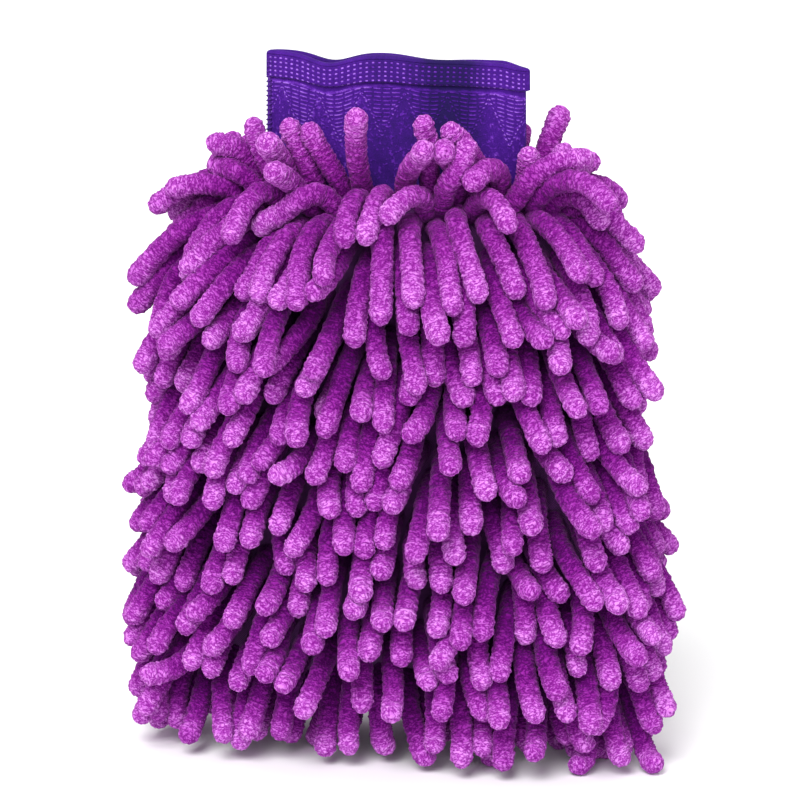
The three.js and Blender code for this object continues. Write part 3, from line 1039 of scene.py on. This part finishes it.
def wall_piece(name, side):
    theta, z = np.meshgrid(cuff_angles(201), np.linspace(CUFF_BOTTOM, WALL_TOP, 61))
    near_join = np.exp(-(((z - CUFF_BOTTOM) / (14 * MM)) ** 2))
    lean = 0.35 * MM * np.sin(theta * 21 + 3 * np.sin(z * 170)) * near_join
    outer = on_cuff(side, theta, lean, z)
    inner = on_cuff(side, theta, lean - CUFF_THICKNESS, z)
    return shell(f"cuff_{name}_wall_knit", outer, inner)


def elastic_piece(name, side):
    theta = cuff_angles(121)
    middle, half_width, half_height = -0.8 * MM, 0.6 * MM, 1.8 * MM
    corners = np.array([(-1, -1), (-1, 1), (1, 1), (1, -1)]) * [half_width, half_height]
    outline = corners + [middle, CUFF_TOP - 3.6 * MM]
    stations = on_cuff(side, theta[:, None], outline[None, :, 0], outline[None, :, 1])
    return swept(f"cuff_{name}_elastic_band", stations if side < 0 else stations[::-1])


def make_cuff():
    hem, wall, elastic = hem_material(), wall_material(), elastic_material()
    pieces = {}
    for name, side in SIDES:
        for part, make, material, slot in (
            ("wall", wall_piece, wall, "knit_cuff"),
            ("hem", hem_piece, hem, "knit_cuff"),
            ("elastic", elastic_piece, elastic, "elastic"),
        ):
            piece = make(name, side)
            knit_places(piece, side)
            node = f"cuff_{name}_{part}"
            pieces[node] = finished(piece, material, node, (name, side))
    return pieces


cuff_pieces = make_cuff()


def declare_sheets():
    """Lists the names of each side's chenille noodle pieces, which are sewn to its base cloth; the
    lists are not used.
    """
    for name, _ in SIDES:
        rows = [f"{name}_chenille_row_{number + 1:02d}_noodles" for number in range(ROWS)]
        rows.append(f"{name}_crown_chenille_noodles")


declare_sheets()

# ---------------------------------------------------------------- seams

SIDE_SEAM = (216 * MM, 262 * MM)  # the heights of its two ends
SIDE_SEAM_ANGLE = -1.44  # radians round the front half of the cuff, so at its left edge
JOIN_HEIGHT = 213.8 * MM
ALLOWANCE = (2.8 * MM, 7.2 * MM)  # how far inside the base cloth's edge it starts and ends
ALLOWANCE_HALF_THICKNESS = 0.6 * MM


def make_side_seam(material):
    """The overlocked edge down the cuff's left side: a flat ridge with loops of thread round it."""
    z = np.linspace(*SIDE_SEAM, 60)
    edge = on_cuff(-1, np.full(60, SIDE_SEAM_ANGLE), 0.5 * MM, z)
    ridge = tube("ridge", edge, 0.75 * MM)
    loops = tube("loops", coil(edge, 1.0 * MM, 1.8 * MM), 0.28 * MM, 6)
    piece = joined("cuff_side_seam_overlock", [ridge, loops])
    finished(piece, material, "cuff_side_seam", ("front", -1))


def make_join_stitching(material):
    """The seam between cuff and panels, a thread wound round the join."""
    turn = np.linspace(0, 2 * math.pi, 241)
    a, b = CUFF_BASE[0] + 0.7 * MM, CUFF_BASE[1] + 0.7 * MM
    line = np.stack([a * np.sin(turn), -b * np.cos(turn), np.full(241, JOIN_HEIGHT)], 1)
    piece = tube("cuff_join_stitching_thread", coil(line, 0.7 * MM, 2.0 * MM), 0.25 * MM, 6)
    finished(piece, material, "cuff_join_stitching")


def make_seam_allowance(material):
    """The panels' edges, overlocked together and turned in, round the sides and the toe."""
    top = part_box("panel_seam_allowance")[1].z
    corner_top = OUTER_BAG.bottom + OUTER_BAG.corner
    turn = np.linspace(0, math.pi / 2, 25)[:-1]
    side_x = OUTER_BAG.half_width(corner_top)
    heights = np.linspace(corner_top, top, 60)

    def edge(inset):
        radius = OUTER_BAG.corner - inset
        round_x = side_x - OUTER_BAG.corner + radius * np.sin(turn)
        x = np.concatenate([round_x, OUTER_BAG.half_width(heights) - inset])
        z = np.concatenate([corner_top - radius * np.cos(turn), heights])
        return np.stack([np.concatenate([-x[::-1], x]), np.concatenate([z[::-1], z])], 1)

    share = np.linspace(0, 1, 5)[:, None, None]
    flat = edge(ALLOWANCE[0]) * (1 - share) + edge(ALLOWANCE[1]) * share
    surfaces = []
    for y in (-ALLOWANCE_HALF_THICKNESS, ALLOWANCE_HALF_THICKNESS):
        surfaces.append(np.stack([flat[..., 0], np.full(flat.shape[:2], y), flat[..., 1]], -1))
    ribbon = shell("ribbon", *surfaces)
    inside = edge(ALLOWANCE[1])
    line = np.stack([inside[:, 0], np.zeros(len(inside)), inside[:, 1]], 1)
    overlock = tube("overlock", coil(line, 0.65 * MM, 2.4 * MM), 0.2 * MM, 6)
    piece = joined("panel_seam_allowance_overlock", [ribbon, overlock])
    finished(piece, material, "panel_seam_allowance")


CUFF_THREAD = thread_material("cuff_thread", (0.030, 0.006, 0.12), (0.11, 0.03, 0.30))
PANEL_THREAD = thread_material("panel_thread", (0.05, 0.004, 0.07), (0.16, 0.02, 0.20))
make_side_seam(CUFF_THREAD)
make_join_stitching(CUFF_THREAD)
make_seam_allowance(PANEL_THREAD)

# ---------------------------------------------------------------- stage

AMBIENT = 0.42  # how strongly the surround lights the mitt
BACKDROP = 1.02  # how bright the camera sees the surround
CAMERA_AZIMUTH = 12
CAMERA_ELEVATION = 13
CAMERA_DISTANCE = 1.3
CAMERA_TARGET = (0.001, 0.0, 0.1352)
LENS = 157


def plain_material(name, colour, roughness):
    s = Shader(name, roughness)
    s.principled.inputs["Base Color"].default_value = (*colour, 1)
    return s.material


def make_floor():
    half = 3.0
    corners = np.array([[-half, -half, 0], [half, -half, 0], [half, half, 0], [-half, half, 0]])
    floor = make_mesh("floor", corners, np.arange(4), np.array([4]))
    floor.data.materials.append(plain_material("floor_white", (0.93, 0.93, 0.93), 0.7))


def sun(name, direction, strength, spread):
    """An even, soft light from the direction given, as wide as spread degrees."""
    light = bpy.data.lights.new(name, "SUN")
    light.energy = strength
    light.angle = math.radians(spread)
    lamp = bpy.data.objects.new(name, light)
    bpy.context.scene.collection.objects.link(lamp)
    lamp.location = direction
    aim_at(lamp, (0, 0, 0))


def aim_at(thing, target):
    away = thing.location - Vector(target)
    thing.rotation_euler = away.to_track_quat("Z", "Y").to_euler()


def make_lights():
    """A white surround to look at that gives less light than the lamps do."""
    world = bpy.data.worlds.new("studio")
    world.use_nodes = True
    tree = world.node_tree
    seen = tree.nodes["Background"]
    seen.inputs["Color"].default_value = (1, 1, 1, 1)
    seen.inputs["Strength"].default_value = BACKDROP
    felt = tree.nodes.new("ShaderNodeBackground")
    felt.inputs["Color"].default_value = (1, 1, 1, 1)
    felt.inputs["Strength"].default_value = AMBIENT
    mix = tree.nodes.new("ShaderNodeMixShader")
    ray = tree.nodes.new("ShaderNodeLightPath")
    tree.links.new(ray.outputs["Is Camera Ray"], mix.inputs[0])
    tree.links.new(felt.outputs[0], mix.inputs[1])
    tree.links.new(seen.outputs[0], mix.inputs[2])
    tree.links.new(mix.outputs[0], tree.nodes["World Output"].inputs["Surface"])
    bpy.context.scene.world = world
    sun("key", (-0.15, -1.0, 1.05), 3.4, 35)
    sun("fill", (0.5, -1.2, 0.3), 1.3, 60)
    sun("top", (0.1, 0.35, 1.5), 1.0, 60)


def make_camera():
    camera = bpy.data.objects.new("camera", bpy.data.cameras.new("camera"))
    bpy.context.scene.collection.objects.link(camera)
    azimuth, elevation = math.radians(CAMERA_AZIMUTH), math.radians(CAMERA_ELEVATION)
    camera.location = (
        CAMERA_TARGET[0] + CAMERA_DISTANCE * math.sin(azimuth) * math.cos(elevation),
        CAMERA_TARGET[1] - CAMERA_DISTANCE * math.cos(azimuth) * math.cos(elevation),
        CAMERA_TARGET[2] + CAMERA_DISTANCE * math.sin(elevation),
    )
    aim_at(camera, CAMERA_TARGET)
    camera.data.lens = LENS
    camera.data.clip_end = 20
    bpy.context.scene.camera = camera


make_floor()
make_lights()
make_camera()
bpy.context.scene.view_settings.view_transform = "Standard"

bpy.context.view_layer.update()
